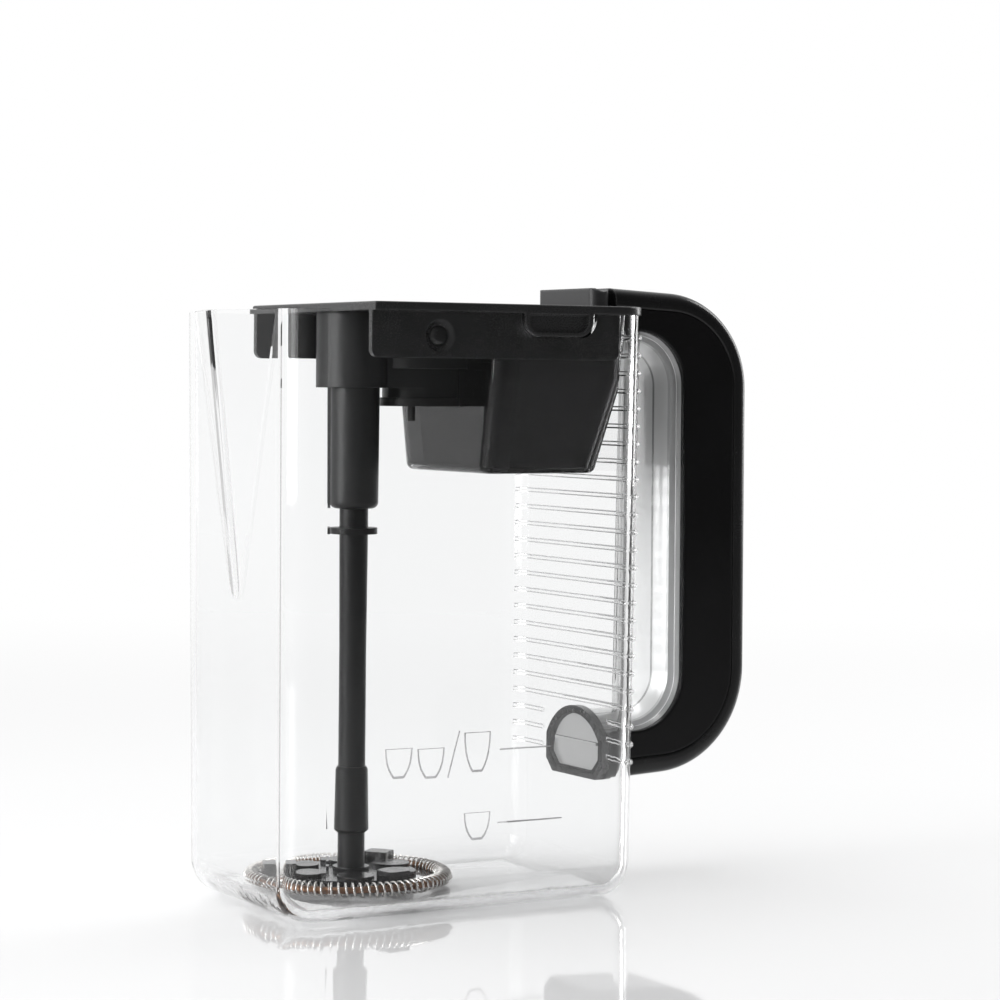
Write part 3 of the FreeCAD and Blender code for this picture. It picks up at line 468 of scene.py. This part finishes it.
def make_turned_lines():
    """Fine rings left by a lathe round an upright axis."""
    group, start, end = make_group("turned_lines", ["Spacing", "Smooth", "Rough"],
                                   ["Roughness", "Height", "Streak"])
    place = group.nodes.new("ShaderNodeTexCoord")
    stretch = group.nodes.new("ShaderNodeMapping")
    stretch.inputs["Scale"].default_value = (0.06, 0.06, 1.0)
    group.links.new(place.outputs["Object"], stretch.inputs["Vector"])
    lines = add_node(group, "ShaderNodeTexNoise", Detail=4.0, Roughness=0.6)
    group.links.new(stretch.outputs["Vector"], lines.inputs["Vector"])
    group.links.new(start.outputs["Spacing"], lines.inputs["Scale"])
    limits = group.nodes.new("ShaderNodeMapRange")
    limits.inputs["From Min"].default_value = 0.3
    limits.inputs["From Max"].default_value = 0.7
    group.links.new(lines.outputs["Fac"], limits.inputs["Value"])
    group.links.new(start.outputs["Smooth"], limits.inputs["To Min"])
    group.links.new(start.outputs["Rough"], limits.inputs["To Max"])
    group.links.new(limits.outputs["Result"], end.inputs["Roughness"])
    group.links.new(lines.outputs["Fac"], end.inputs["Height"])
    group.links.new(lines.outputs["Fac"], end.inputs["Streak"])
    return group


turned_lines = make_turned_lines()
line_depth = 0.00005


def turned_metal(name, dark, light, spacing, smooth, rough, relief):
    """Metal with fine drawn or turned lines."""
    material = bpy.data.materials.new(name)
    material.use_nodes = True
    tree = material.node_tree
    shader = tree.nodes["Principled BSDF"]
    shader.inputs["Metallic"].default_value = 1.0
    lines = tree.nodes.new("ShaderNodeGroup")
    lines.node_tree = turned_lines
    lines.inputs["Spacing"].default_value = spacing
    lines.inputs["Smooth"].default_value = smooth
    lines.inputs["Rough"].default_value = rough
    mix_tone(tree, dark, light, lines.outputs["Streak"], shader)
    tree.links.new(lines.outputs["Roughness"], shader.inputs["Roughness"])
    raise_bump(tree, lines.outputs["Height"], relief, line_depth, shader)
    return material


bush_bronze = turned_metal(
    "bush_bronze", (0.42, 0.27, 0.11, 1.0), (0.58, 0.4, 0.19, 1.0),
    spacing=3000.0, smooth=0.35, rough=0.55, relief=0.1)
ground_steel = turned_metal(
    "ground_steel", (0.5, 0.5, 0.51, 1.0), (0.64, 0.64, 0.65, 1.0),
    spacing=5000.0, smooth=0.18, rough=0.32, relief=0.06)
dress(bush_bronze, "upper_bush", "lower_bush")
dress(ground_steel, "idler_pin", "spindle")

# Gears
# Three spur gears in natural, off-white gear plastic, moulded and left unpainted.
# One is on the spindle, one turns on the pin, and one stands on the sealed drive block.
gear_white = solid_plastic(
    "gear_white", (0.6, 0.58, 0.53, 1.0), (0.7, 0.68, 0.63, 1.0),
    grain=2400.0, wave=120.0, smooth=0.35, rough=0.5, relief=0.06, gloss=0.5, edge=0.0002)
dress(gear_white, "spindle_gear", "idler_gear", "output_gear")

# Whisk shaft, ferrule and hub
# The long matt black shaft is pushed on the spindle, with the ferrule as a thicker sleeve near its foot.
# The hub plate below is a glossier moulding with lobes and blocks that clamp the wires.
shaft_black = solid_plastic(
    "shaft_black", (0.004, 0.004, 0.0042, 1.0), (0.009, 0.009, 0.0094, 1.0),
    grain=2600.0, wave=70.0, smooth=0.3, rough=0.42, relief=0.12, gloss=0.25, edge=0.0004)
hub_black = solid_plastic(
    "hub_black", (0.006, 0.006, 0.0063, 1.0), (0.012, 0.012, 0.0125, 1.0),
    grain=2400.0, wave=90.0, smooth=0.14, rough=0.24, relief=0.06, gloss=0.5, edge=0.0004)
dress(shaft_black, "whisk_shaft", "whisk_ferrule")
dress(hub_black, "whisk_hub")

# Whisk ring
# A thick brown-tinted wire inside the coil, with thin legs clamped in the hub's blocks.
# It is drawn wire, bent to a ring, and it keeps the coil round.
ring_brown = turned_metal(
    "ring_brown", (0.16, 0.085, 0.05, 1.0), (0.26, 0.14, 0.08, 1.0),
    spacing=2600.0, smooth=0.3, rough=0.5, relief=0.08)
dress(ring_brown, "whisk_ring")

# Whisk coil
# Bright stainless wire wound into a long spring, bent round the ring and left open by one pitch.
# It is wound straight here and then bent round, as the real one is.
coil_turns = 83
coil_radius = 0.0025
coil_wire = 0.00035
wire_sides = 8
turn_steps = 18
ring_steps = 64
weld_reach = 0.000005
coil_start = math.radians(-85.0)
ring_radius = 0.0283
coil_low, coil_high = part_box("whisk_coil")
ring_height = (coil_low[2] + coil_high[2]) / 2
whisk_axis = -0.021
coil_pitch = 2 * math.pi * ring_radius / (coil_turns + 1)
bpy.ops.object.select_all(action="DESELECT")
bpy.ops.mesh.primitive_circle_add(vertices=wire_sides, radius=coil_wire, fill_type="NOTHING",
                                  location=(coil_radius, 0.0, 0.0), rotation=(math.pi / 2, 0.0, 0.0))
whisk_coil = bpy.context.object
whisk_coil.name = "whisk_coil_wire"
bpy.ops.object.transform_apply(location=True, rotation=True, scale=True)
winding = whisk_coil.modifiers.new("winding", "SCREW")
winding.axis = "Z"
winding.angle = 2 * math.pi
winding.screw_offset = coil_pitch
winding.iterations = coil_turns
winding.steps = turn_steps
winding.render_steps = turn_steps
bpy.ops.object.modifier_apply(modifier="winding")
bpy.ops.object.mode_set(mode="EDIT")
bpy.ops.mesh.select_mode(type="VERT")
bpy.ops.mesh.select_all(action="SELECT")
bpy.ops.mesh.remove_doubles(threshold=weld_reach)
bpy.ops.mesh.select_all(action="DESELECT")
bpy.ops.mesh.select_non_manifold()
bpy.ops.mesh.fill_holes(sides=0)
bpy.ops.mesh.select_all(action="SELECT")
bpy.ops.mesh.normals_make_consistent(inside=False)
bpy.ops.object.mode_set(mode="OBJECT")
bpy.ops.object.select_all(action="DESELECT")
bpy.ops.curve.primitive_bezier_circle_add(radius=ring_radius, location=(whisk_axis, 0.0, ring_height),
                                          rotation=(0.0, 0.0, coil_start))
ring_line = bpy.context.object
ring_line.data.resolution_u = ring_steps
whisk_coil.location = ring_line.location
whisk_coil.rotation_euler = ring_line.rotation_euler
bpy.ops.object.select_all(action="DESELECT")
whisk_coil.select_set(True)
bpy.context.view_layer.objects.active = whisk_coil
round_ring = whisk_coil.modifiers.new("round_ring", "CURVE")
round_ring.object = ring_line
round_ring.deform_axis = "POS_Z"
bpy.ops.object.modifier_apply(modifier="round_ring")
bpy.ops.object.transform_apply(location=True, rotation=True, scale=True)
bpy.ops.object.shade_smooth()
bpy.data.objects.remove(ring_line)
coil_steel = turned_metal(
    "coil_steel", (0.6, 0.58, 0.56, 1.0), (0.78, 0.76, 0.74, 1.0),
    spacing=4000.0, smooth=0.14, rough=0.28, relief=0.04)
whisk_coil.data.materials.append(coil_steel)
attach(whisk_coil, "whisk")
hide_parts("whisk_coil")

# Floor and light
# A plain glossy pale table under a pale surround. Both are white behind the jug and greyer in front of it.
# The lamps are three soft boxes: one above, one to the left and a narrow one to the right.
table_size = 80.0
table_rough = 0.04
view_line = (0.5, 0.866, 0.0)
bright_side = (-0.5, 0.866, 0.0)
front_tone = (0.32, 0.32, 0.322, 1.0)
back_tone = (0.80, 0.80, 0.805, 1.0)
tone_reach = (-0.75, -0.22)
white_reach = (0.2, 1.1)
bpy.ops.object.select_all(action="DESELECT")
bpy.ops.mesh.primitive_plane_add(size=table_size, location=(0.0, 0.0, 0.0))
table_top = bpy.context.object
table_top.name = "table_top"
table_white = bpy.data.materials.new("table_white")
table_white.use_nodes = True
table_tree = table_white.node_tree
table_shader = table_tree.nodes["Principled BSDF"]
table_shader.inputs["Roughness"].default_value = table_rough
table_place = table_tree.nodes.new("ShaderNodeTexCoord")
table_back = table_tree.nodes.new("ShaderNodeVectorMath")
table_back.operation = "DOT_PRODUCT"
table_back.inputs[1].default_value = view_line
table_tree.links.new(table_place.outputs["Object"], table_back.inputs[0])


def table_ramp(first, last):
    """A soft step from 0 to 1 along the table, from front to back."""
    ramp = table_tree.nodes.new("ShaderNodeMapRange")
    ramp.interpolation_type = "SMOOTHSTEP"
    ramp.inputs["From Min"].default_value = first
    ramp.inputs["From Max"].default_value = last
    table_tree.links.new(table_back.outputs["Value"], ramp.inputs["Value"])
    return ramp.outputs["Result"]


mix_tone(table_tree, front_tone, back_tone, table_ramp(*tone_reach), table_shader)
table_rays = table_tree.nodes.new("ShaderNodeLightPath")
seen_rays = table_rays.outputs["Is Camera Ray"]
for ray in ("Is Glossy Ray", "Is Transmission Ray"):
    either = table_tree.nodes.new("ShaderNodeMath")
    either.operation = "MAXIMUM"
    table_tree.links.new(seen_rays, either.inputs[0])
    table_tree.links.new(table_rays.outputs[ray], either.inputs[1])
    seen_rays = either.outputs[0]
white_share = table_tree.nodes.new("ShaderNodeMath")
white_share.operation = "MULTIPLY"
table_tree.links.new(table_ramp(*white_reach), white_share.inputs[0])
table_tree.links.new(seen_rays, white_share.inputs[1])
far_white = table_tree.nodes.new("ShaderNodeEmission")
table_mix = table_tree.nodes.new("ShaderNodeMixShader")
table_tree.links.new(white_share.outputs[0], table_mix.inputs["Fac"])
table_tree.links.new(table_shader.outputs["BSDF"], table_mix.inputs[1])
table_tree.links.new(far_white.outputs["Emission"], table_mix.inputs[2])
table_tree.links.new(table_mix.outputs["Shader"], table_tree.nodes["Material Output"].inputs["Surface"])
table_top.data.materials.append(table_white)

surround = bpy.data.worlds.new("surround")
bpy.context.scene.world = surround
surround.use_nodes = True
sky = surround.node_tree
direction = sky.nodes.new("ShaderNodeTexCoord")
towards = sky.nodes.new("ShaderNodeVectorMath")
towards.operation = "DOT_PRODUCT"
towards.inputs[1].default_value = bright_side
sky.links.new(direction.outputs["Generated"], towards.inputs[0])
fade = sky.nodes.new("ShaderNodeMapRange")
fade.interpolation_type = "SMOOTHSTEP"
fade.inputs["From Min"].default_value = -0.7
fade.inputs["From Max"].default_value = 0.3
fade.inputs["To Min"].default_value = 0.13
fade.inputs["To Max"].default_value = 1.0
sky.links.new(towards.outputs["Value"], fade.inputs["Value"])
sky.links.new(fade.outputs["Result"], sky.nodes["Background"].inputs["Strength"])
sky.nodes["Background"].inputs["Color"].default_value = (1.0, 1.0, 1.0, 1.0)


def soft_box(name, place, target, width, height, power):
    """A rectangular studio lamp aimed at a point."""
    lamp = bpy.data.lights.new(name, "AREA")
    lamp.shape = "RECTANGLE"
    lamp.size = width
    lamp.size_y = height
    lamp.energy = power
    holder = bpy.data.objects.new(name, lamp)
    holder.location = place
    holder.rotation_euler = (Vector(target) - Vector(place)).to_track_quat("-Z", "Y").to_euler()
    bpy.context.scene.collection.objects.link(holder)


soft_box("top_light", (-0.1, 0.1, 1.1), (0.0, 0.0, 0.1), width=0.9, height=0.7, power=4.5)
soft_box("left_light", (-1.0, 0.05, 0.35), (0.05, 0.0, 0.1), width=0.5, height=0.6, power=5.5)
soft_box("right_light", (0.95, 0.15, 0.45), (0.08, 0.0, 0.1), width=0.2, height=0.8, power=3.0)

# Camera
# A level long lens a little under a metre away, just below the rim, 30 degrees round towards the beak.
# The lens is shifted down, so that upright edges stay upright as in the photo, and rolled by half a degree.
lens_roll = math.radians(0.49)
camera = bpy.data.cameras.new("photo_camera")
camera.sensor_width = 36.0
camera.lens = 106.2
camera.shift_y = -0.12
camera_holder = bpy.data.objects.new("photo_camera", camera)
camera_holder.location = (-0.435, -0.807, 0.1597)
level = Vector(view_line).to_track_quat("-Z", "Y").to_matrix()
camera_holder.rotation_euler = (level @ Matrix.Rotation(lens_roll, 3, "Z")).to_euler()
bpy.context.scene.collection.objects.link(camera_holder)
bpy.context.scene.camera = camera_holder
bpy.context.scene.view_settings.view_transform = "Standard"
